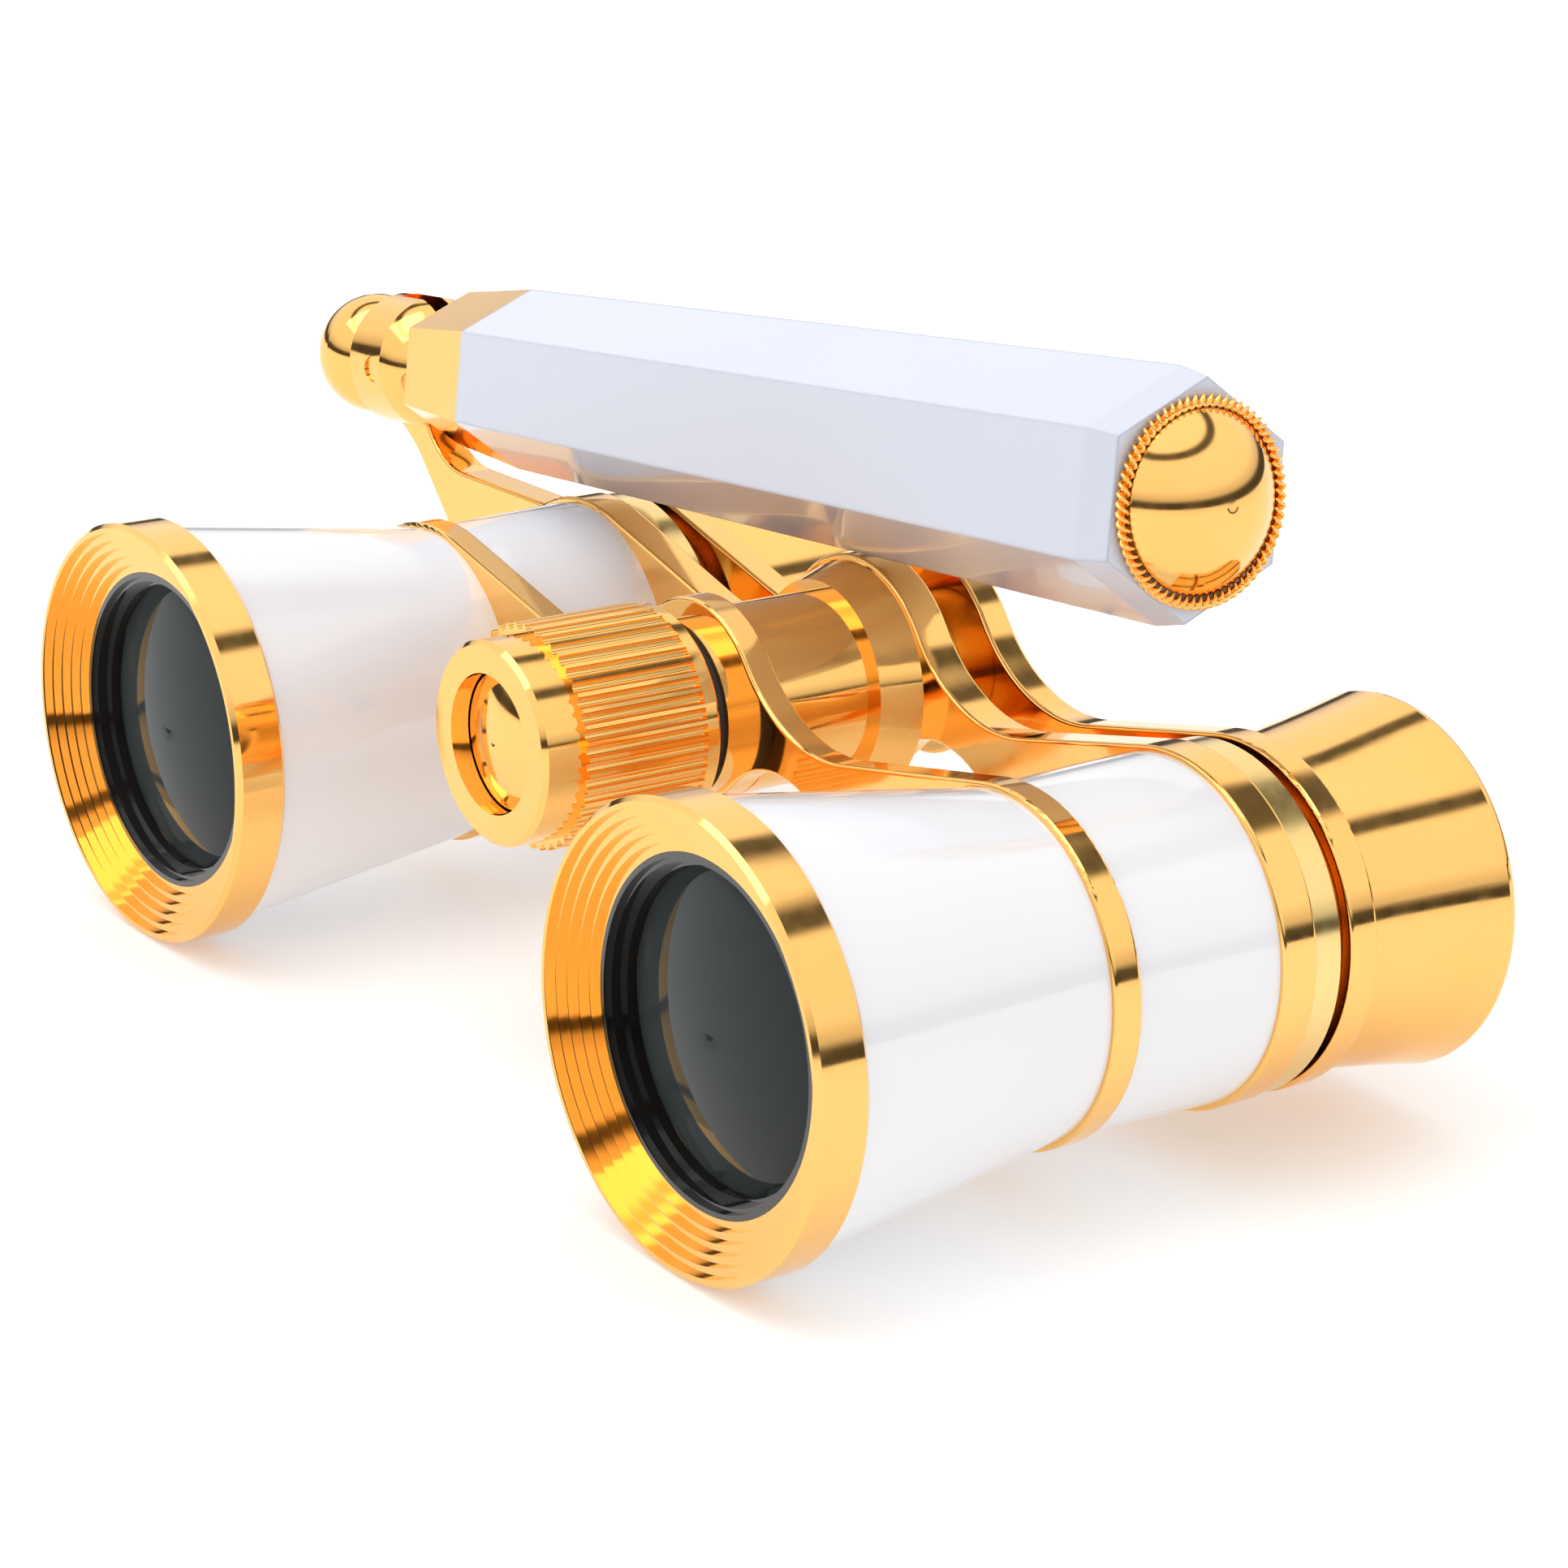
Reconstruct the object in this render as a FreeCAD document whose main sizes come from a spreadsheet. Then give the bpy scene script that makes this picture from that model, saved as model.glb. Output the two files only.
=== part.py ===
import FreeCAD, Part
import math
import os
import Sketcher

# Opera glasses with a folding handle, in millimetres. +X runs across the two barrels,
# +Y from the objectives to the eyepieces and +Z up. The origin is the centre of the
# footprint box on the table.

DIMS = [
    ("frame_x", 10.445), ("frame_y", -26.75), ("frame_z", 14.1),
    ("ipd_half", 32), ("knob_z", 7.2),
    # objective ring, retainer and lens
    ("rim_r", 14.1), ("rim_len", 3.5), ("rim_edge", 0.3), ("lip_r", 13.5),
    ("groove_w", 0.58), ("groove_h", 0.4), ("cell_r", 10.6), ("funnel_y", 2),
    ("glass_y", 4.2), ("seat_y", 6.2), ("seat_r", 9.6), ("cell_end", 8.4), ("spigot_r", 11.8),
    ("retainer_end", 3.85), ("retainer_step", 0.33), ("glass_gap", 0.05), ("glass_curve_r", 32),
    # white shells and what joins them
    ("slip", 0.02), ("shell_r", 13.55), ("waist_r", 10.75), ("clamp1_y", 22.8), ("clamp1_mid", 23.8),
    ("clamp1_end", 24.8), ("socket_r", 10.2), ("guide_out_r", 9.85), ("guide_in_r", 9.36),
    ("guide_start", 19), ("guide_end", 36.6), ("cone_in_r", 11.2), ("rear_r1", 10.6), ("rear_r2", 10.85),
    ("clamp2_y", 35.3), ("clamp2_end", 37.9), ("end_ring_r", 11), ("end_ring_end", 39.8),
    # eyepieces
    ("draw_r", 9.3), ("draw_in_r", 8.5), ("draw_start", 27.5), ("draw_end", 44.4),
    ("eye_ring_y", 40.6), ("eye_ring_end", 42.7), ("neck_r", 9.9), ("neck_end", 43),
    ("cup_r1", 10.3), ("cup_r2", 11.75), ("cup_flare_r", 140), ("cup_end", 53.5),
    ("cup_lip", 0.8), ("cup_dish_r", 10.6), ("cup_hole_r", 6.2), ("cup_hole_y", 49.6),
    ("eye_cell_r", 7.6), ("eye_seat_y", 48.6), ("eye_glass_y", 45.9), ("eye_nut_y", 44.9),
    ("eye_nut_in_r", 6.4), ("eye_glass_r", 7.56), ("eye_flat", 6.3), ("eye_curve_back", 20),
    ("eye_curve_front", 45),
    # bridges
    ("ring1_r", 11.1), ("ring2_r", 11.2), ("ring3_r", 11.1), ("hub1_r", 7), ("hub2_r", 8),
    ("hub3_r", 8), ("hub_low_r", 6), ("valley_r", 10.4), ("valley_z", 7.6), ("arch_r", 7),
    ("arch_z", 5.2), ("hub_bore_r", 5.4), ("boss_y", 32.6), ("boss_r", 6.7),
    ("boss_foot_r", 7.6), ("edge_round", 0.25),
    # handle arm on the middle bridge
    ("arm_root_r", 9.8), ("arm_dip_z", 9.3), ("arm_in", 1.6), ("arm_fillet_r", 5.5), ("arm_cut_r", 9.95),
    ("arm_cut_angle", 71),
    # focusing parts
    ("tube_r", 6), ("tube_in_r", 4.6), ("sleeve_r", 4.55), ("sleeve_start", 34), ("sleeve_end", 43.9),
    ("sleeve_bore_r", 2.55), ("screw_r", 2.5), ("screw_end", 42.9), ("journal_r", 3), ("journal_bore_r", 3.03),
    ("thrust_r", 4.5), ("thrust_y", 24.85), ("thrust_end", 26.4), ("bush_flange_r", 5.7),
    ("bush_flange_y", 21.6), ("washer_y", 20.35), ("hub_cap_r", 5.3), ("hub_cap_end", 45.2),
    ("hub_cap_edge_y", 44.3),
    ("knob_y", 7.6), ("knob_front_r", 6.5), ("flute_y", 10.4), ("flute_end", 19.2), ("flute_r", 7.15),
    ("knob_collar_r", 7), ("knob_end", 20.3), ("knob_recess_r", 4.45),
    ("flute_cut_r", 0.38), ("disc_r", 4.35), ("disc_edge_y", 8.9),
    ("disc_back_y", 11), ("screw_head_r", 4.2), ("screw_head_y", 11.05),
    ("screw_head_end", 12.5),
    # handle: measured from the hinge pin, along the folded handle
    ("hinge_x", -55.51), ("hinge_y", 36.6), ("hinge_z", 15.93), ("fold_tilt", 6.8),
    ("knuckle_r", 4.8), ("knuckle_back", 3), ("knuckle_shoulder", 1.2), ("knuckle_end", 4.95), ("knuckle_seat", 4.2),
    ("slot_t", 1.5), ("slot_back", 1.95),
    ("slot_low", 2), ("pin_r", 0.9), ("pin_len", 9.2), ("stud_r", 1), ("stud_end", 2.05),
    ("ball_x", 7.13), ("ball_r", 4.4), ("tongue_t", 1.4), ("tongue_r", 1.9), ("tongue_end", 6),
    ("ferrule_x", 5.05), ("ferrule_mid_x", 8.6), ("ferrule_r1", 5.5), ("ferrule_r2", 5.85),
    ("grip_x", 13.4), ("grip_r", 6.375), ("grip_roll", -8.6), ("grip_bevel_x", 85), ("grip_r2", 7.75),
    ("grip_end", 87.6), ("grip_r3", 7.3), ("core_r", 1.5), ("core_start", 11.4), ("core_end", 89.4),
    ("rope_r", 5.95), ("rope_wire_r", 0.45), ("cap_r", 5.5), ("cap_lip", 88.2), ("cap_top", 90.9),
]

doc = FreeCAD.newDocument("opera_glasses")
sheet = doc.addObject("Spreadsheet::Sheet", "dims")
for row, (alias, number) in enumerate(DIMS, start=1):
    sheet.set("A%d" % row, alias)
    sheet.set("B%d" % row, str(number))
    sheet.setAlias("B%d" % row, alias)
doc.recompute()

V = FreeCAD.Vector
Z_AXIS = V(0, 0, 1)
PARTS = []
DERIVED = []
HINGE = ("frame_x + hinge_x", "frame_y + hinge_y", "frame_z + hinge_z")


def dim(alias):
    return float(sheet.get(alias))


def amount(text):
    """The value of a sum such as "rim_r - rim_edge"."""
    total = 0.0
    sign = 1
    for token in text.split():
        if token in "+-":
            sign = 1 if token == "+" else -1
            continue
        total += sign * (dim(token) if token[0].isalpha() else float(token))
    return total


def formula(text):
    """The same sum as an expression on the sheet."""
    return " ".join("dims." + token if token[0].isalpha() else token for token in text.split())


def sheet_value(alias, number):
    """A derived length kept on the sheet, entered once."""
    if alias in DERIVED:
        return
    DERIVED.append(alias)
    row = len(DIMS) + len(DERIVED)
    sheet.set("A%d" % row, alias)
    sheet.set("B%d" % row, "%.6f" % number)
    sheet.setAlias("B%d" % row, alias)
    doc.recompute()


def new_body(name, x_text="frame_x", y_text="frame_y", z_text="frame_z", tilted=False):
    body = doc.addObject("PartDesign::Body", name)
    body.Label = name
    turn = FreeCAD.Rotation(V(0, 1, 0), -dim("fold_tilt")) if tilted else FreeCAD.Rotation()
    body.Placement = FreeCAD.Placement(V(amount(x_text), amount(y_text), amount(z_text)), turn)
    body.setExpression("Placement.Base.x", formula(x_text))
    body.setExpression("Placement.Base.y", formula(y_text))
    body.setExpression("Placement.Base.z", formula(z_text))
    PARTS.append(body)
    return body


def origin_feature(body, role):
    return next(f for f in body.Origin.OriginFeatures if f.Role == role)


def new_sketch(body, name, role, offset_text=None):
    sketch = body.newObject("Sketcher::SketchObject", name)
    sketch.AttachmentSupport = [(origin_feature(body, role), "")]
    sketch.MapMode = "FlatFace"
    if offset_text:
        sketch.AttachmentOffset = FreeCAD.Placement(V(0, 0, amount(offset_text)), FreeCAD.Rotation())
        sketch.setExpression("AttachmentOffset.Base.z", formula(offset_text))
    return sketch


def arc_between(a, b, radius, side):
    """Arc from a to b; side +1 turns left of the chord's travel, -1 turns right."""
    chord = b - a
    half = chord.Length / 2
    rise = math.sqrt(max(radius ** 2 - half ** 2, 0))
    left = V(-chord.y, chord.x, 0).normalize()
    centre = (a + b) * 0.5 + left * (rise * side)
    start = math.atan2(a.y - centre.y, a.x - centre.x)
    end = math.atan2(b.y - centre.y, b.x - centre.x)
    if side < 0:
        start, end = end, start
    return Part.ArcOfCircle(Part.Circle(centre, Z_AXIS, radius), start, end)


def dome_radius(a, b):
    """Radius of the arc from a to b whose centre is on the sketch axis that one end touches."""
    if abs(a.x * b.x) < 1e-9:
        tip, rim = (a, b) if abs(a.x) < 1e-9 else (b, a)
        reach, rise = rim.x, rim.y - tip.y
    else:
        tip, rim = (a, b) if abs(a.y) < 1e-9 else (b, a)
        reach, rise = rim.y, rim.x - tip.x
    return (reach ** 2 + rise ** 2) / (2 * abs(rise))


def add_outline(sketch, path):
    """Closed outline. Each step is (u, v) or (u, v, radius, side) for an arc to the next corner.

    A radius of "dome" centres the arc on the axis instead, so a dome meets it squarely.
    """
    corners = [V(amount(step[0]), amount(step[1]), 0) for step in path]
    count = len(path)
    ends = []
    for i, step in enumerate(path):
        a = corners[i]
        b = corners[(i + 1) % count]
        if len(step) == 4:
            radius = dome_radius(a, b) if step[2] == "dome" else amount(step[2])
            sketch.addGeometry(arc_between(a, b, radius, step[3]), False)
            ends.append((1, 2) if step[3] > 0 else (2, 1))
        else:
            sketch.addGeometry(Part.LineSegment(a, b), False)
            ends.append((1, 2))
    for i, step in enumerate(path):
        j = (i + 1) % count
        sketch.addConstraint(Sketcher.Constraint("Coincident", i, ends[i][1], j, ends[j][0]))
    for i, step in enumerate(path):
        pins = (("DistanceX", -2, corners[i].x, step[0]), ("DistanceY", -1, corners[i].y, step[1]))
        for kind, axis, value, text in pins:
            if abs(value) < 1e-9:
                sketch.addConstraint(Sketcher.Constraint("PointOnObject", i, ends[i][0], axis))
                continue
            index = sketch.addConstraint(Sketcher.Constraint(kind, -1, 1, i, ends[i][0], value))
            sketch.setExpression("Constraints[%d]" % index, formula(text))
        if len(step) == 4 and step[2] == "dome":
            on_upright = abs(corners[i].x * corners[(i + 1) % count].x) < 1e-9
            sketch.addConstraint(Sketcher.Constraint("PointOnObject", i, 3, -2 if on_upright else -1))
        elif len(step) == 4 and (corners[i] - corners[(i + 1) % count]).Length > 1.999 * amount(step[2]):
            # a half circle takes its size from its two ends, so only its centre is pinned
            sketch.addConstraint(Sketcher.Constraint("PointOnObject", i, 3, -2))
        elif len(step) == 4:
            index = sketch.addConstraint(Sketcher.Constraint("Radius", i, amount(step[2])))
            sketch.setExpression("Constraints[%d]" % index, formula(step[2]))


def turned(name, path, x_text="frame_x", z_text="frame_z + knob_z"):
    """A turned piece: the outline (radius, y) revolved about its own Y axis."""
    body = new_body(name, x_text, "frame_y", z_text)
    sketch = new_sketch(body, name + "_outline", "XY_Plane")
    add_outline(sketch, path)
    spin = body.newObject("PartDesign::Revolution", name + "_turn")
    spin.Profile = sketch
    spin.ReferenceAxis = (sketch, ["V_Axis"])
    spin.Angle = 360
    return body


def handle_turned(name, path):
    """A turned piece about the handle's long axis: the outline is (x, radius)."""
    body = new_body(name, *HINGE, tilted=True)
    sketch = new_sketch(body, name + "_outline", "XY_Plane")
    add_outline(sketch, path)
    spin = body.newObject("PartDesign::Revolution", name + "_turn")
    spin.Profile = sketch
    spin.ReferenceAxis = (sketch, ["H_Axis"])
    spin.Angle = 360
    return body


def add_circle(sketch, u_text, v_text, r_text):
    centre = V(amount(u_text), amount(v_text), 0)
    ring = sketch.addGeometry(Part.Circle(centre, Z_AXIS, amount(r_text)), False)
    pins = (("DistanceX", -2, centre.x, u_text), ("DistanceY", -1, centre.y, v_text))
    for kind, axis, value, text in pins:
        if abs(value) < 1e-9:
            sketch.addConstraint(Sketcher.Constraint("PointOnObject", ring, 3, axis))
            continue
        index = sketch.addConstraint(Sketcher.Constraint(kind, -1, 1, ring, 3, value))
        sketch.setExpression("Constraints[%d]" % index, formula(text))
    index = sketch.addConstraint(Sketcher.Constraint("Radius", ring, amount(r_text)))
    sketch.setExpression("Constraints[%d]" % index, formula(r_text))


def pad(body, sketch, length_text, name):
    """Pad spread evenly to both sides of the sketch."""
    feature = body.newObject("PartDesign::Pad", name)
    feature.Profile = sketch
    feature.SideType = "Symmetric"
    feature.Length = amount(length_text)
    feature.setExpression("Length", formula(length_text))
    return feature


def pocket(body, sketch, length_text, name):
    """Cut spread evenly to both sides of the sketch."""
    feature = body.newObject("PartDesign::Pocket", name)
    feature.Profile = sketch
    feature.SideType = "Symmetric"
    feature.Length = amount(length_text)
    feature.setExpression("Length", formula(length_text))
    return feature


# ---- barrels -------------------------------------------------------------------------

def objective_ring(name, x_text):
    path = [
        ("lip_r", "0"),
        ("rim_r - rim_edge", "0"),
        ("rim_r", "rim_edge"),
        ("rim_r", "rim_len - rim_edge"),
        ("rim_r - rim_edge", "rim_len"),
        ("spigot_r", "rim_len"),
        ("spigot_r", "cell_end"),
        ("seat_r", "cell_end"),
        ("seat_r", "seat_y"),
        ("cell_r", "seat_y"),
        ("cell_r", "funnel_y"),
    ]
    radius = "cell_r"
    depth = "funnel_y"
    for step in range(5):
        radius += " + groove_w"
        path.append((radius, depth))
        if step < 4:
            depth += " - groove_h"
            path.append((radius, depth))
    path[-1] = ("lip_r", depth)
    turned(name, path, x_text, "frame_z")


def objective_retainer(name, x_text):
    turned(name, [
        ("cell_r - slip", "funnel_y"),
        ("cell_r - slip", "retainer_end"),
        ("seat_r", "retainer_end"),
        ("seat_r", "retainer_end - retainer_step - retainer_step"),
        ("seat_r + retainer_step", "retainer_end - retainer_step - retainer_step"),
        ("seat_r + retainer_step", "funnel_y + retainer_step"),
        ("seat_r + retainer_step + retainer_step", "funnel_y + retainer_step"),
        ("seat_r + retainer_step + retainer_step", "funnel_y"),
    ], x_text, "frame_z")


def objective_lens(name, x_text):
    radius = dim("glass_curve_r")
    edge = dim("cell_r") - dim("glass_gap")
    bulge = radius - math.sqrt(radius ** 2 - edge ** 2)
    sheet_value("glass_front", dim("glass_y") - bulge)
    turned(name, [
        ("0", "glass_front", "dome", 1),
        ("cell_r - glass_gap", "glass_y"),
        ("cell_r - glass_gap", "seat_y"),
        ("0", "seat_y"),
    ], x_text, "frame_z")


def front_shell(name, x_text):
    turned(name, [
        ("shell_r", "rim_len"),
        ("waist_r", "clamp1_y"),
        ("socket_r", "clamp1_y"),
        ("socket_r", "clamp1_mid"),
        ("guide_out_r + slip", "clamp1_mid"),
        ("guide_out_r + slip", "guide_start"),
        ("cone_in_r", "cell_end + slip"),
        ("spigot_r + slip", "cell_end + slip"),
        ("spigot_r + slip", "rim_len"),
    ], x_text, "frame_z")


def rear_shell(name, x_text):
    turned(name, [
        ("guide_out_r + slip", "clamp1_mid"),
        ("socket_r", "clamp1_mid"),
        ("socket_r", "clamp1_end"),
        ("rear_r1", "clamp1_end"),
        ("rear_r2", "clamp2_y"),
        ("socket_r", "clamp2_y"),
        ("socket_r", "guide_end"),
        ("guide_out_r + slip", "guide_end"),
    ], x_text, "frame_z")


def plain_tube(name, x_text, z_text, inner, outer, start, end):
    turned(name, [(outer, start), (outer, end), (inner, end), (inner, start)], x_text, z_text)


def end_ring(name, x_text):
    turned(name, [
        ("guide_in_r", "guide_end"),
        ("socket_r", "guide_end"),
        ("socket_r", "clamp2_end"),
        ("end_ring_r", "clamp2_end"),
        ("end_ring_r", "end_ring_end"),
        ("guide_in_r", "end_ring_end"),
    ], x_text, "frame_z")


def eyecup(name, x_text):
    turned(name, [
        ("draw_r + slip", "eye_ring_end"),
        ("neck_r", "eye_ring_end"),
        ("neck_r", "neck_end"),
        ("cup_r1", "neck_end", "cup_flare_r", -1),
        ("cup_r2", "cup_end - cup_lip", "cup_lip", 1),
        ("cup_r2 - cup_lip", "cup_end"),
        ("cup_dish_r", "cup_end"),
        ("cup_hole_r", "cup_hole_y"),
        ("cup_hole_r", "eye_seat_y"),
        ("eye_cell_r", "eye_seat_y"),
        ("eye_cell_r", "draw_end"),
        ("draw_r + slip", "draw_end"),
    ], x_text, "frame_z")


def eye_lens(name, x_text):
    flat = dim("eye_flat")
    for alias, curve in (("eye_dip_back", "eye_curve_back"), ("eye_dip_front", "eye_curve_front")):
        sheet_value(alias, dim(curve) - math.sqrt(dim(curve) ** 2 - flat ** 2))
    turned(name, [
        ("0", "eye_glass_y + eye_dip_front", "dome", -1),
        ("eye_flat", "eye_glass_y"),
        ("eye_glass_r", "eye_glass_y"),
        ("eye_glass_r", "eye_seat_y"),
        ("eye_flat", "eye_seat_y", "dome", -1),
        ("0", "eye_seat_y - eye_dip_back"),
    ], x_text, "frame_z")


SIDES = (("left", "frame_x - ipd_half"), ("right", "frame_x + ipd_half"))
for side, x_text in SIDES:
    objective_ring("objective_ring_" + side, x_text)
    objective_retainer("objective_retainer_" + side, x_text)
    objective_lens("objective_lens_" + side, x_text)
    front_shell("front_shell_" + side, x_text)
    rear_shell("rear_shell_" + side, x_text)
    plain_tube("guide_tube_" + side, x_text, "frame_z", "guide_in_r", "guide_out_r",
               "guide_start", "guide_end")
    end_ring("end_ring_" + side, x_text)
    plain_tube("draw_tube_" + side, x_text, "frame_z", "draw_in_r", "draw_r", "draw_start", "draw_end")
    eyecup("eyecup_" + side, x_text)
    eye_lens("eye_lens_" + side, x_text)
    plain_tube("eye_retainer_" + side, x_text, "frame_z", "eye_nut_in_r", "eye_cell_r - slip",
               "eye_nut_y", "eye_glass_y")


# ---- bridges -------------------------------------------------------------------------

def cross_tangent(c1, r1, c2, r2, sign):
    """Ends of the line that touches circle 1 on one side and circle 2 on the other."""
    way = c2 - c1
    swing = math.acos((r1 + r2) / way.Length)
    angle = math.atan2(way.y, way.x) + sign * swing
    out = V(math.cos(angle), math.sin(angle), 0)
    return c1 + out * r1, c2 - out * r2


def arc_via(a, b, centre, radius, towards):
    """Arc from a to b about centre that passes on the side of the unit vector towards."""
    return Part.Arc(a, centre + towards * radius, b).toShape()


def bridge_half(ring_r, hub_r):
    """Outline of the right half of a bridge plate, in (across, up) on the XY plane."""
    ring = V(dim("ipd_half"), 0, 0)
    hub = V(0, dim("knob_z"), 0)
    low_r = dim("hub_low_r")
    valley_r = dim("valley_r")
    arch_r = dim("arch_r")
    valley_y = dim("valley_z") + valley_r
    valley = V(math.sqrt((hub_r + valley_r) ** 2 - (valley_y - hub.y) ** 2), valley_y, 0)
    arch_y = dim("arch_z") - arch_r
    arch = V(math.sqrt((low_r + arch_r) ** 2 - (hub.y - arch_y) ** 2), arch_y, 0)
    crown = hub + V(0, hub_r, 0)
    hub_end = hub + (valley - hub).normalize() * hub_r
    dip_end, ring_top = cross_tangent(valley, valley_r, ring, ring_r, -1)
    arch_end, ring_low = cross_tangent(arch, arch_r, ring, ring_r, 1)
    hub_low = hub + (arch - hub).normalize() * low_r
    foot = hub - V(0, low_r, 0)
    hub_mid = (crown - hub + hub_end - hub).normalize()
    dip_mid = (hub_end - valley + dip_end - valley).normalize()
    arch_mid = (arch_end - arch + hub_low - arch).normalize()
    low_mid = (hub_low - hub + foot - hub).normalize()
    edges = [
        arc_via(crown, hub_end, hub, hub_r, hub_mid),
        arc_via(hub_end, dip_end, valley, valley_r, dip_mid),
        Part.LineSegment(dip_end, ring_top).toShape(),
        arc_via(ring_top, ring_low, ring, ring_r, V(1, 0, 0)),
        Part.LineSegment(ring_low, arch_end).toShape(),
        arc_via(arch_end, hub_low, arch, arch_r, arch_mid),
        arc_via(hub_low, foot, hub, low_r, low_mid),
    ]
    return edges


def arm_plate(thickness):
    """The handle arm that runs from the left ring out to the knuckle, lying on the XY plane."""
    ring = V(-dim("ipd_half"), 0, 0)
    root_r = dim("arm_root_r")
    tilt = math.radians(dim("fold_tilt"))
    along = V(math.cos(tilt), math.sin(tilt), 0)
    up = V(-math.sin(tilt), math.cos(tilt), 0)
    seat = V(dim("hinge_x"), dim("hinge_z"), 0) - up * dim("knuckle_seat")
    inner = seat + along * dim("arm_in")
    outer = seat - along * dim("knuckle_back")
    cut_r = dim("arm_cut_r")
    lean = math.radians(dim("arm_cut_angle"))
    cut = outer - V(math.cos(lean), math.sin(lean), 0) * cut_r
    cut_end, ring_low = cross_tangent(cut, cut_r, ring, root_r, 1)
    fillet_r = dim("arm_fillet_r")
    fillet_y = dim("arm_dip_z") + fillet_r
    reach = math.sqrt(fillet_r ** 2 - (inner.y - fillet_y) ** 2)
    fillet = V(inner.x + reach, fillet_y, 0)
    bend, ring_top = cross_tangent(fillet, fillet_r, ring, root_r, -1)
    bend_mid = (inner - fillet + bend - fillet).normalize()
    cut_mid = (outer - cut + cut_end - cut).normalize()
    ring_mid = (ring_top - ring + ring_low - ring).normalize()
    edges = [
        arc_via(ring_low, ring_top, ring, root_r, ring_mid),
        Part.LineSegment(ring_top, bend).toShape(),
        arc_via(bend, inner, fillet, fillet_r, bend_mid),
        Part.LineSegment(inner, outer).toShape(),
        arc_via(outer, cut_end, cut, cut_r, cut_mid),
        Part.LineSegment(cut_end, ring_low).toShape(),
    ]
    face = Part.Face(Part.Wire(Part.__sortEdges__(edges)))
    return face.extrude(V(0, 0, thickness))


def bridge(name, y_alias, end_alias, ring_r, hub_r, seat_r, hub_bore, extra=None, boss=None):
    """A bridge plate with its two rings and hub, stood up so its thickness runs along Y."""
    depth = dim(end_alias) - dim(y_alias)
    right = bridge_half(ring_r, hub_r)
    left = [edge.mirror(V(0, 0, 0), V(1, 0, 0)) for edge in right]
    face = Part.Face(Part.Wire(Part.__sortEdges__(right + left)))
    plate = face.extrude(V(0, 0, depth))
    if extra:
        plate = plate.fuse(extra(depth)).removeSplitter()
    rims = [e for e in plate.Edges if abs(e.BoundBox.ZLength) < 1e-6]
    plate = plate.makeFillet(dim("edge_round"), rims)
    if boss:
        plate = plate.fuse(boss(depth))
    hub = V(0, dim("knob_z"), 0)
    tall = Part.makeCylinder(hub_bore, 4 * depth, hub - V(0, 0, depth), Z_AXIS)
    plate = plate.cut(tall)
    for across in (-dim("ipd_half"), dim("ipd_half")):
        plate = plate.cut(Part.makeCylinder(seat_r, 4 * depth, V(across, 0, -depth), Z_AXIS))
    # up becomes +Z and the plate's thickness runs back from its front face
    plate.rotate(V(0, 0, 0), V(1, 0, 0), 90)
    plate.translate(V(0, depth, 0))
    feature = doc.addObject("Part::Feature", name)
    feature.Label = name
    feature.Shape = plate.removeSplitter()
    y_text = "frame_y + " + y_alias
    feature.Placement = FreeCAD.Placement(V(dim("frame_x"), amount(y_text), dim("frame_z")),
                                          FreeCAD.Rotation())
    feature.setExpression("Placement.Base.x", formula("frame_x"))
    feature.setExpression("Placement.Base.y", formula(y_text))
    feature.setExpression("Placement.Base.z", formula("frame_z"))
    PARTS.append(feature)


def hub_boss(depth):
    """Flared boss on the front of the middle bridge's hub, where the centre tube enters."""
    reach = dim("clamp2_y") - dim("boss_y")
    hub = V(0, dim("knob_z"), depth)
    return Part.makeCone(dim("boss_foot_r"), dim("boss_r"), reach, hub, Z_AXIS)


bridge("front_bridge", "clamp1_y", "clamp1_end", dim("ring1_r"), dim("hub1_r"),
       dim("socket_r") + dim("slip"), dim("hub_bore_r") + dim("slip"))
bridge("middle_bridge", "clamp2_y", "clamp2_end", dim("ring2_r"), dim("hub2_r"),
       dim("socket_r") + dim("slip"), dim("hub_bore_r") + dim("slip"), arm_plate, hub_boss)
bridge("eyepiece_bridge", "eye_ring_y", "eye_ring_end", dim("ring3_r"), dim("hub3_r"),
       dim("draw_r") + dim("slip"), dim("sleeve_r") + dim("slip"))


# ---- focusing parts ------------------------------------------------------------------

turned("centre_tube", [
    ("tube_in_r", "clamp1_end"),
    ("tube_r", "clamp1_end"),
    ("tube_r", "boss_y"),
    ("hub_bore_r", "boss_y"),
    ("hub_bore_r", "clamp2_end"),
    ("tube_in_r", "clamp2_end"),
])
turned("spindle_bush", [
    ("journal_bore_r", "bush_flange_y"),
    ("bush_flange_r", "bush_flange_y"),
    ("bush_flange_r", "clamp1_y"),
    ("hub_bore_r", "clamp1_y"),
    ("hub_bore_r", "clamp1_end"),
    ("journal_bore_r", "clamp1_end"),
])
turned("focus_screw", [
    ("0", "screw_head_y"),
    ("screw_head_r", "screw_head_y"),
    ("screw_head_r", "screw_head_end"),
    ("journal_r", "screw_head_end"),
    ("journal_r", "thrust_y"),
    ("thrust_r", "thrust_y"),
    ("thrust_r", "thrust_end"),
    ("screw_r", "thrust_end"),
    ("screw_r", "screw_end"),
    ("0", "screw_end"),
])
turned("thrust_washer", [
    ("journal_bore_r", "washer_y"),
    ("bush_flange_r - rim_edge", "washer_y"),
    ("bush_flange_r - rim_edge", "bush_flange_y - slip"),
    ("journal_bore_r", "bush_flange_y - slip"),
])
turned("drive_sleeve", [
    ("sleeve_bore_r", "sleeve_start"),
    ("sleeve_r", "sleeve_start"),
    ("sleeve_r", "sleeve_end"),
    ("sleeve_bore_r", "sleeve_end"),
])
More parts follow.
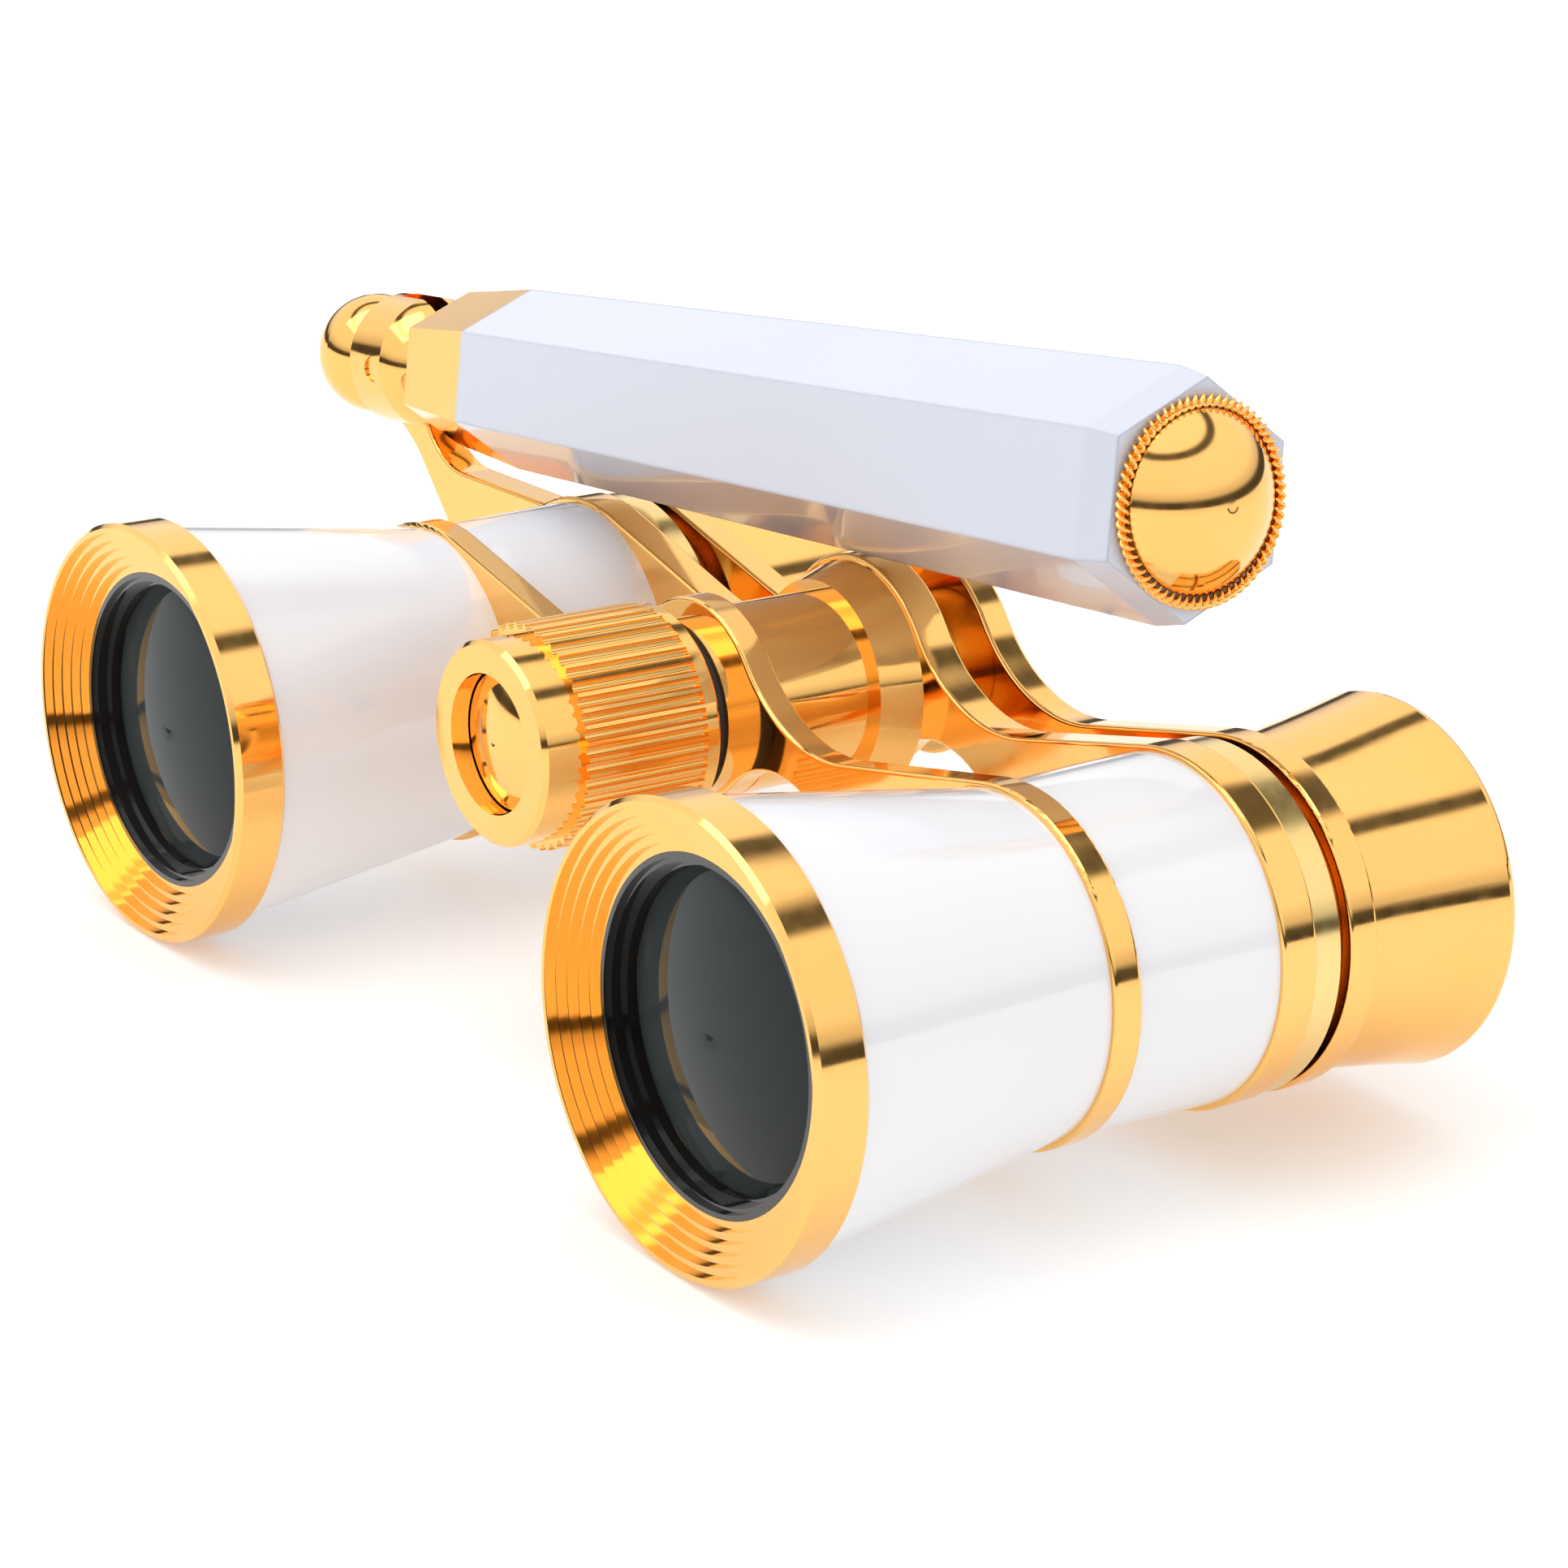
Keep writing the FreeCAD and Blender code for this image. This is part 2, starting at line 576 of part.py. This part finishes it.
turned("hub_cap", [
    ("sleeve_r + slip", "eye_ring_end"),
    ("hub_cap_r", "eye_ring_end"),
    ("hub_cap_r", "hub_cap_edge_y", "dome", 1),
    ("0", "hub_cap_end"),
    ("0", "sleeve_end + slip"),
    ("sleeve_r + slip", "sleeve_end + slip"),
])
turned("knob_disc", [
    ("0", "knob_y + rim_edge", "dome", 1),
    ("disc_r", "disc_edge_y"),
    ("disc_r", "disc_back_y"),
    ("0", "disc_back_y"),
])


def focus_knob():
    body = turned("focus_knob", [
        ("knob_recess_r", "knob_y"),
        ("knob_front_r - rim_edge", "knob_y"),
        ("knob_front_r", "knob_y + rim_edge"),
        ("knob_front_r", "flute_y"),
        ("flute_r", "flute_y"),
        ("flute_r", "flute_end"),
        ("knob_collar_r", "flute_end"),
        ("knob_collar_r", "knob_end - rim_edge"),
        ("knob_collar_r - rim_edge", "knob_end"),
        ("journal_r + slip", "knob_end"),
        ("journal_r + slip", "screw_head_end + slip"),
        ("knob_recess_r", "screw_head_end + slip"),
    ])
    doc.recompute()
    before = body.Shape.Volume
    sketch = new_sketch(body, "flute", "XZ_Plane", "0 - flute_y")
    add_circle(sketch, "0", "flute_r", "flute_cut_r")
    cut = body.newObject("PartDesign::Pocket", "flute_cut")
    cut.Profile = sketch
    cut.Length = amount("flute_end - flute_y")
    cut.setExpression("Length", formula("flute_end - flute_y"))
    doc.recompute()
    if body.Shape.Volume > before - 0.1:
        raise RuntimeError("the flute cuts nothing")
    ring = body.newObject("PartDesign::PolarPattern", "flutes")
    ring.Originals = [cut]
    ring.Axis = (origin_feature(body, "Y_Axis"), [""])
    ring.Angle = 360
    ring.Occurrences = 44
    body.Tip = ring


focus_knob()

# ---- handle --------------------------------------------------------------------------


def handle_knuckle():
    body = handle_turned("handle_knuckle", [
        ("0 - knuckle_back", "0"),
        ("knuckle_end", "0", "dome", 1),
        ("knuckle_shoulder", "knuckle_r"),
        ("0 - knuckle_back", "knuckle_r"),
    ])
    flat = new_sketch(body, "arm_flat_outline", "XZ_Plane")
    add_outline(flat, [
        ("0 - tongue_end", "0 - knuckle_seat"),
        ("0 - tongue_end", "0 - tongue_end"),
        ("tongue_end", "0 - tongue_end"),
        ("tongue_end", "0 - knuckle_seat"),
    ])
    pocket(body, flat, "knuckle_r + knuckle_r", "arm_flat")
    slot = new_sketch(body, "slot_outline", "XZ_Plane")
    add_outline(slot, [
        ("0 - slot_back", "0 - slot_low"),
        ("tongue_end", "0 - slot_low"),
        ("tongue_end", "tongue_end"),
        ("0 - slot_back", "tongue_end"),
    ])
    pocket(body, slot, "slot_t", "slot_cut")
    hole = new_sketch(body, "pin_hole", "XZ_Plane")
    add_circle(hole, "0", "0", "pin_r + slip")
    pocket(body, hole, "knuckle_r + knuckle_r", "pin_cut")
    stud = new_sketch(body, "stud_hole", "YZ_Plane")
    add_circle(stud, "0", "0", "stud_r + slip")
    cut = body.newObject("PartDesign::Pocket", "stud_cut")
    cut.Profile = stud
    cut.Type = "ThroughAll"


def handle_ferrule():
    body = new_body("handle_ferrule", *HINGE, tilted=True)
    outline = new_sketch(body, "tongue_outline", "XZ_Plane")
    add_outline(outline, [
        ("0", "tongue_r", "tongue_r", 1),
        ("0", "0 - tongue_r"),
        ("tongue_end", "0 - tongue_r"),
        ("tongue_end", "tongue_r"),
    ])
    pad(body, outline, "tongue_t", "tongue")
    sections = [
        hex_sketch(body, "ferrule_small", "ferrule_x", "ferrule_r1"),
        hex_sketch(body, "ferrule_mid", "ferrule_mid_x", "ferrule_r2"),
        hex_sketch(body, "ferrule_large", "grip_x", "grip_r"),
    ]
    loft = body.newObject("PartDesign::AdditiveLoft", "ferrule_flare")
    loft.Profile = sections[0]
    loft.Sections = sections[1:]
    hole = new_sketch(body, "ferrule_pin_hole", "XZ_Plane")
    add_circle(hole, "0", "0", "pin_r + slip")
    pocket(body, hole, "knuckle_r", "ferrule_pin_cut")
    bore_along(body, "ferrule_core", "core_start", "grip_x + slip")


def hex_sketch(body, name, x_text, r_alias):
    """A hexagon across the handle, its corners set by one radius and the grip's roll."""
    sketch = new_sketch(body, name, "YZ_Plane", x_text)
    radius = dim(r_alias)
    roll = dim("grip_roll")
    corners = []
    for i in range(6):
        angle = math.radians(roll + 30 + 60 * i)
        corners.append(V(radius * math.cos(angle), radius * math.sin(angle), 0))
    for i in range(6):
        sketch.addGeometry(Part.LineSegment(corners[i], corners[(i + 1) % 6]), False)
    for i in range(6):
        sketch.addConstraint(Sketcher.Constraint("Coincident", i, 2, (i + 1) % 6, 1))
    for i in range(6):
        turn = "(dims.grip_roll + %d)" % (30 + 60 * i)
        for kind, value, wave in (("DistanceX", corners[i].x, "cos"), ("DistanceY", corners[i].y, "sin")):
            index = sketch.addConstraint(Sketcher.Constraint(kind, -1, 1, i, 1, value))
            sketch.setExpression("Constraints[%d]" % index, "dims.%s * %s%s" % (r_alias, wave, turn))
    return sketch


def bore_along(body, name, start_text, end_text):
    """A hole for the core rod along the handle's axis, from one station to another."""
    sketch = new_sketch(body, name + "_circle", "YZ_Plane", end_text)
    add_circle(sketch, "0", "0", "core_r + slip")
    cut = body.newObject("PartDesign::Pocket", name)
    cut.Profile = sketch
    length = end_text + " - " + start_text
    cut.Length = amount(length)
    cut.setExpression("Length", formula(length))


def handle_grip():
    body = new_body("handle_grip", *HINGE, tilted=True)
    for tag, first, second in (
        ("long", ("grip_x", "grip_r"), ("grip_bevel_x", "grip_r2")),
        ("bevel", ("grip_bevel_x", "grip_r2"), ("grip_end", "grip_r3")),
    ):
        start = hex_sketch(body, "grip_%s_start" % tag, *first)
        end = hex_sketch(body, "grip_%s_end" % tag, *second)
        loft = body.newObject("PartDesign::AdditiveLoft", "grip_" + tag)
        loft.Profile = start
        loft.Sections = [end]
    bore_along(body, "grip_core", "grip_x", "grip_end")


handle_knuckle()
handle_ferrule()
handle_grip()

def ball_finial():
    """The ball, flattened where it seats on the knuckle, with its stud."""
    reach = dim("ball_x") - dim("knuckle_back")
    sheet_value("ball_seat_r", math.sqrt(dim("ball_r") ** 2 - reach ** 2))
    handle_turned("ball_finial", [
        ("0 - ball_x - ball_r", "0"),
        ("0 - stud_end", "0"),
        ("0 - stud_end", "stud_r"),
        ("0 - knuckle_back", "stud_r"),
        ("0 - knuckle_back", "ball_seat_r", "ball_r", 1),
        ("0 - ball_x", "ball_r", "ball_r", 1),
    ])


ball_finial()
handle_turned("handle_core", [
    ("core_start", "0"),
    ("core_end", "0"),
    ("core_end", "core_r"),
    ("core_start", "core_r"),
])
handle_turned("handle_cap", [
    ("grip_end", "core_r + slip"),
    ("core_end + slip", "core_r + slip"),
    ("core_end + slip", "0"),
    ("cap_top", "0", "dome", 1),
    ("cap_lip", "cap_r"),
    ("grip_end", "cap_r"),
])


def rope_ring():
    body = new_body("rope_ring", *HINGE, tilted=True)
    sketch = new_sketch(body, "rope_section", "XY_Plane")
    add_circle(sketch, "grip_end + rope_wire_r", "rope_r + slip", "rope_wire_r")
    spin = body.newObject("PartDesign::Revolution", "rope_turn")
    spin.Profile = sketch
    spin.ReferenceAxis = (sketch, ["H_Axis"])
    spin.Angle = 360


def hinge_pin():
    body = new_body("hinge_pin", *HINGE, tilted=True)
    sketch = new_sketch(body, "hinge_pin_section", "XZ_Plane")
    add_circle(sketch, "0", "0", "pin_r")
    pad(body, sketch, "pin_len", "hinge_pin_body")


rope_ring()
hinge_pin()

doc.recompute()
problems = []
for item in doc.Objects:
    if any(word in item.State for word in ("Invalid", "Error")):
        problems.append(item.Name + " " + str(item.State))
for item in PARTS:
    if item.Shape.isNull() or not item.Shape.isValid() or not item.Shape.Solids:
        problems.append(item.Label + " has a bad shape")
if problems:
    raise RuntimeError("; ".join(problems))

os.makedirs("parts", exist_ok=True)
box = FreeCAD.BoundBox()
for item in PARTS:
    item.Shape.exportStep("parts/%s.step" % item.Label)
    box.add(item.Shape.BoundBox)
print(len(PARTS), "parts", box)
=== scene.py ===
import math

import bpy
from mathutils import Matrix, Vector


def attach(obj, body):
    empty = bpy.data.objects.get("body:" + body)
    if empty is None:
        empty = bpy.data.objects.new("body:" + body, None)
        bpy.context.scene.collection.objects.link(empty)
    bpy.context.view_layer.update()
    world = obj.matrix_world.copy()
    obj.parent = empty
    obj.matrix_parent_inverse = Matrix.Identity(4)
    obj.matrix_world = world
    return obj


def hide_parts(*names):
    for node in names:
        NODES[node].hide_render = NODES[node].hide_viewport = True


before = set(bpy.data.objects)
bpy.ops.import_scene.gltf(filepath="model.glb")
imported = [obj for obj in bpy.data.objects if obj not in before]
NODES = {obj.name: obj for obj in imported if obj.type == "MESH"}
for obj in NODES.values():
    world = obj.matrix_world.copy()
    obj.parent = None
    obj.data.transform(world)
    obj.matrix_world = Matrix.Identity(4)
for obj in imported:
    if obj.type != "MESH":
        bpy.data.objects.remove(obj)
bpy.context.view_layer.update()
MM = 0.001

# ---- frame and camera -----------------------------------------------------------------
# Lengths below are in millimetres from the midpoint between the barrel axes at the front
# of the objective rims; ORIGIN is where that point stands in the row frame.
ORIGIN = Vector((10.445, -26.75, 14.1))
CAMERA_AT = Vector((237.1155, -139.6229, 100.0218))
CAMERA_AZIMUTH = math.radians(54.42)
CAMERA_ELEVATION = math.radians(18.81)
CAMERA_ROLL = math.radians(1.57)
LENS_MM = 109.59


def place(x, y, z):
    return (Vector((x, y, z)) + ORIGIN) * MM


def make_camera():
    data = bpy.data.cameras.new("camera")
    data.sensor_width = 36.0
    data.lens = LENS_MM
    data.clip_start = 0.01
    data.clip_end = 20.0
    camera = bpy.data.objects.new("camera", data)
    bpy.context.scene.collection.objects.link(camera)
    a, e, r = CAMERA_AZIMUTH, CAMERA_ELEVATION, CAMERA_ROLL
    back = Vector((math.sin(a) * math.cos(e), -math.cos(a) * math.cos(e), math.sin(e)))
    right = Vector((0, 0, 1)).cross(back).normalized()
    up = back.cross(right)
    tilted_right = right * math.cos(r) + up * math.sin(r)
    tilted_up = up * math.cos(r) - right * math.sin(r)
    turn = Matrix((tilted_right, tilted_up, back)).transposed()
    camera.matrix_world = Matrix.Translation(place(*CAMERA_AT)) @ turn.to_4x4()
    bpy.context.scene.camera = camera


# ---- materials ------------------------------------------------------------------------
# Noise scales are in lumps to a metre, ripple heights in metres.
NOISE_LOW, NOISE_HIGH = 0.3, 0.7
RIPPLE_HEIGHT = 0.0002
GOLD_GRAIN = 900
ENAMEL_GRAIN = 500
DUST_GRAIN = 700
GRIP_EDGE = 0.0004

def new_material(name):
    material = bpy.data.materials.new(name)
    material.use_nodes = True
    tree = material.node_tree
    shader = tree.nodes["Principled BSDF"]
    return material, tree, shader


def noise(tree, scale, detail):
    """Noise fixed to the object, with about scale lumps to a metre."""
    where = tree.nodes.new("ShaderNodeTexCoord")
    field = tree.nodes.new("ShaderNodeTexNoise")
    field.inputs["Scale"].default_value = scale
    field.inputs["Detail"].default_value = detail
    tree.links.new(where.outputs["Object"], field.inputs["Vector"])
    return field.outputs["Fac"]


def ramp(tree, value, low, high):
    """Spreads the middle of a noise value over low..high."""
    node = tree.nodes.new("ShaderNodeMapRange")
    node.inputs["From Min"].default_value = NOISE_LOW
    node.inputs["From Max"].default_value = NOISE_HIGH
    node.inputs["To Min"].default_value = low
    node.inputs["To Max"].default_value = high
    tree.links.new(value, node.inputs["Value"])
    return node.outputs["Result"]


def blend_colours(tree, value, first, second):
    node = tree.nodes.new("ShaderNodeMix")
    node.data_type = "RGBA"
    node.inputs["A"].default_value = (*first, 1)
    node.inputs["B"].default_value = (*second, 1)
    tree.links.new(value, node.inputs["Factor"])
    return node.outputs["Result"]


def bump(tree, shader, value, strength, edge=0.0):
    """Surface ripple from value; edge softens the look of sharp edges over that many metres."""
    node = tree.nodes.new("ShaderNodeBump")
    if edge:
        softened = tree.nodes.new("ShaderNodeBevel")
        softened.samples = 4
        softened.inputs["Radius"].default_value = edge
        tree.links.new(softened.outputs["Normal"], node.inputs["Normal"])
    node.inputs["Strength"].default_value = strength
    node.inputs["Distance"].default_value = RIPPLE_HEIGHT
    tree.links.new(value, node.inputs["Height"])
    tree.links.new(node.outputs["Normal"], shader.inputs["Normal"])


def metal(name, colour, dark, rough):
    """Polished metal: slow colour drift, fine wipe marks in the roughness, faint ripple."""
    material, tree, shader = new_material(name)
    shader.inputs["Metallic"].default_value = 1.0
    drift = ramp(tree, noise(tree, 60, 2), 0.0, 1.0)
    tree.links.new(blend_colours(tree, drift, dark, colour), shader.inputs["Base Color"])
    wipe = ramp(tree, noise(tree, GOLD_GRAIN, 6), rough, rough + 0.05)
    tree.links.new(wipe, shader.inputs["Roughness"])
    bump(tree, shader, noise(tree, 90, 2), 0.05)
    return material


def coated(name, colour, shade, rough, coat=0.6, ripple=0.02, edge=0.0):
    """Glossy enamel or plastic: slight tone change, orange-peel ripple and a clear top coat."""
    material, tree, shader = new_material(name)
    tone = ramp(tree, noise(tree, 40, 3), 0.0, 1.0)
    tree.links.new(blend_colours(tree, tone, shade, colour), shader.inputs["Base Color"])
    wipe = ramp(tree, noise(tree, ENAMEL_GRAIN, 5), rough, rough + 0.05)
    tree.links.new(wipe, shader.inputs["Roughness"])
    shader.inputs["Coat Weight"].default_value = coat
    shader.inputs["Coat Roughness"].default_value = 0.03
    bump(tree, shader, noise(tree, 250, 2), ripple, edge)
    return material


def lens_material(name, tint, painted_edge_sheen):
    """Coated glass seen against a dark tube: dark body, clear reflections and a painted edge sheen, the base
    colour turning lighter towards grazing angles.
    """
    material, tree, shader = new_material(name)
    facing = tree.nodes.new("ShaderNodeLayerWeight")
    facing.inputs["Blend"].default_value = 0.35
    # painted sheen: the base colour blends from the dark body colour to a lighter, bluer one as the surface
    # turns edge-on to the view
    tree.links.new(blend_colours(tree, facing.outputs["Facing"], tint, painted_edge_sheen), shader.inputs["Base Color"])
    dust = ramp(tree, noise(tree, DUST_GRAIN, 6), 0.03, 0.07)
    tree.links.new(dust, shader.inputs["Roughness"])
    shader.inputs["IOR"].default_value = 1.27
    return material


GOLD = metal("gold", (1.0, 0.58, 0.185), (0.97, 0.53, 0.15), 0.06)
PALE_GOLD = metal("pale_gold", (0.92, 0.66, 0.27), (0.86, 0.6, 0.22), 0.12)
SATIN_GOLD = metal("satin_gold", (0.8, 0.45, 0.1), (0.65, 0.34, 0.07), 0.25)
STEEL = metal("steel", (0.62, 0.6, 0.57), (0.5, 0.49, 0.47), 0.2)
ENAMEL = coated("white_enamel", (0.83, 0.825, 0.845), (0.81, 0.803, 0.825), 0.1)
GRIP_WHITE = coated("white_grip", (0.61, 0.64, 0.735), (0.59, 0.62, 0.72), 0.12,
                    edge=GRIP_EDGE)
BLACK_GLOSS = coated("black_gloss", (0.008, 0.007, 0.006), (0.014, 0.012, 0.011), 0.08)
BLACK_MATT = coated("black_matt", (0.015, 0.015, 0.016), (0.03, 0.03, 0.03), 0.6, 0.0, 0.2)
# the second colour of each lens is its painted edge sheen
LENS_GLASS = lens_material("coated_glass", (0.012, 0.013, 0.015), (0.05, 0.065, 0.065))
EYE_GLASS = lens_material("clear_glass", (0.03, 0.035, 0.04), (0.1, 0.12, 0.14))

FINISH = {
    "objective_retainer": BLACK_GLOSS, "objective_lens": LENS_GLASS, "front_shell": ENAMEL,
    "rear_shell": ENAMEL, "guide_tube": BLACK_MATT, "end_ring": PALE_GOLD, "draw_tube": SATIN_GOLD,
    "eye_lens": EYE_GLASS, "eye_retainer": BLACK_GLOSS, "focus_screw": STEEL, "hinge_pin": GOLD,
    "handle_core": STEEL, "thrust_washer": BLACK_MATT, "drive_sleeve": SATIN_GOLD, "handle_grip": GRIP_WHITE,
}
for name, node in NODES.items():
    kind = name.replace("_left", "").replace("_right", "")
    node.data.materials.clear()
    node.data.materials.append(FINISH.get(kind, GOLD))


# ---- rope ring ------------------------------------------------------------------------

def mesh_object(name, verts, faces, material, smooth=True):
    mesh = bpy.data.meshes.new(name)
    mesh.from_pydata([tuple(v) for v in verts], [], faces)
    mesh.validate()
    mesh.materials.append(material)
    for polygon in mesh.polygons:
        polygon.use_smooth = smooth
    thing = bpy.data.objects.new(name, mesh)
    bpy.context.scene.collection.objects.link(thing)
    return thing


HINGE_AT = Vector((-55.51, 36.6, 15.93))
FOLD_TILT = math.radians(6.8)


def on_handle(x, y, z):
    """A point measured from the hinge pin along and across the folded handle."""
    along = Vector((math.cos(FOLD_TILT), 0, math.sin(FOLD_TILT)))
    up = Vector((-math.sin(FOLD_TILT), 0, math.cos(FOLD_TILT)))
    return place(*(HINGE_AT + along * x + Vector((0, y, 0)) + up * z))


def rope_ring():
    """Two gold wires twisted together and bent into a ring under the end cap."""
    station, ring_r, lay_r, wire_r = 88.05, 5.97, 0.21, 0.235
    twists, steps_per_twist, sides = 33, 18, 10
    steps = twists * steps_per_twist
    verts, faces = [], []
    for strand in range(2):
        first = len(verts)
        for i in range(steps):
            turn = 2 * math.pi * i / steps
            lay = twists * turn + strand * math.pi
            radius = ring_r + lay_r * math.cos(lay)
            x = station + lay_r * math.sin(lay)
            for j in range(sides):
                around = 2 * math.pi * j / sides
                r = radius + wire_r * math.cos(around)
                verts.append(on_handle(x + wire_r * math.sin(around), r * math.cos(turn), r * math.sin(turn)))
        for i in range(steps):
            for j in range(sides):
                a, b = i * sides + j, i * sides + (j + 1) % sides
                c, d = ((i + 1) % steps) * sides + (j + 1) % sides, ((i + 1) % steps) * sides + j
                faces.append((first + a, first + b, first + c, first + d))
    ring = mesh_object("rope_ring_wires", verts, faces, GOLD)
    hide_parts("rope_ring")
    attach(ring, "handle")


# ---- studio ---------------------------------------------------------------------------

BACKLIGHT = 0.3
FLOOR_REACH = 6.0


def make_floor():
    """A wide pale sheet the glasses stand on, lit faintly from behind to lift the shadow."""
    material, tree, shader = new_material("floor")
    tone = ramp(tree, noise(tree, 3, 2), 0.0, 1.0)
    white = blend_colours(tree, tone, (0.74, 0.74, 0.74), (0.76, 0.76, 0.76))
    tree.links.new(white, shader.inputs["Base Color"])
    shader.inputs["Emission Color"].default_value = (1, 1, 1, 1)
    shader.inputs["Emission Strength"].default_value = BACKLIGHT
    shader.inputs["Roughness"].default_value = 0.7
    corners = [(x * FLOOR_REACH, y * FLOOR_REACH, 0) for x, y in ((-1, -1), (1, -1), (1, 1), (-1, 1))]
    floor = mesh_object("floor", corners, [(0, 1, 2, 3)], material, smooth=False)


KEY_AT = Vector((-0.15, -0.35, 0.8))
KEY_SIZE = 0.7
KEY_POWER = 2.5


def key_light():
    """One square softbox, pointing at the object."""
    data = bpy.data.lights.new("key", "AREA")
    data.shape = "RECTANGLE"
    data.size = KEY_SIZE
    data.size_y = KEY_SIZE
    data.energy = KEY_POWER
    light = bpy.data.objects.new("key", data)
    bpy.context.scene.collection.objects.link(light)
    light.location = KEY_AT
    light.rotation_euler = (-KEY_AT).to_track_quat("-Z", "Y").to_euler()


# sky brightness against sine of the elevation: a dark room just over the table, then two
# large softboxes with a dark gap between them
SKY = [(-1.0, 1.0), (-0.01, 1.0), (0.0, 0.05), (0.1, 0.09), (0.15, 0.75), (0.3, 1.15), (0.72, 1.2),
       (0.75, 0.14), (0.8, 0.12), (0.83, 1.25), (1.0, 1.3)]


def make_world():
    world = bpy.data.worlds.new("studio")
    bpy.context.scene.world = world
    world.use_nodes = True
    tree = world.node_tree
    backdrop = tree.nodes["Background"]
    where = tree.nodes.new("ShaderNodeTexCoord")
    split = tree.nodes.new("ShaderNodeSeparateXYZ")
    tree.links.new(where.outputs["Generated"], split.inputs["Vector"])
    height = tree.nodes.new("ShaderNodeMapRange")
    height.inputs["From Min"].default_value = -1.0
    tree.links.new(split.outputs["Z"], height.inputs["Value"])
    stops = tree.nodes.new("ShaderNodeValToRGB")
    points = stops.color_ramp.elements
    while len(points) < len(SKY):
        points.new(0.5)
    for point, (sine, level) in zip(points, SKY):
        point.position = (sine + 1) / 2
        point.color = (level, level, level, 1)
    tree.links.new(height.outputs["Result"], stops.inputs["Fac"])
    tree.links.new(stops.outputs["Color"], backdrop.inputs["Color"])
    backdrop.inputs["Strength"].default_value = 1.0


rope_ring()
make_floor()
make_world()
key_light()
make_camera()
bpy.context.scene.view_settings.view_transform = "Standard"
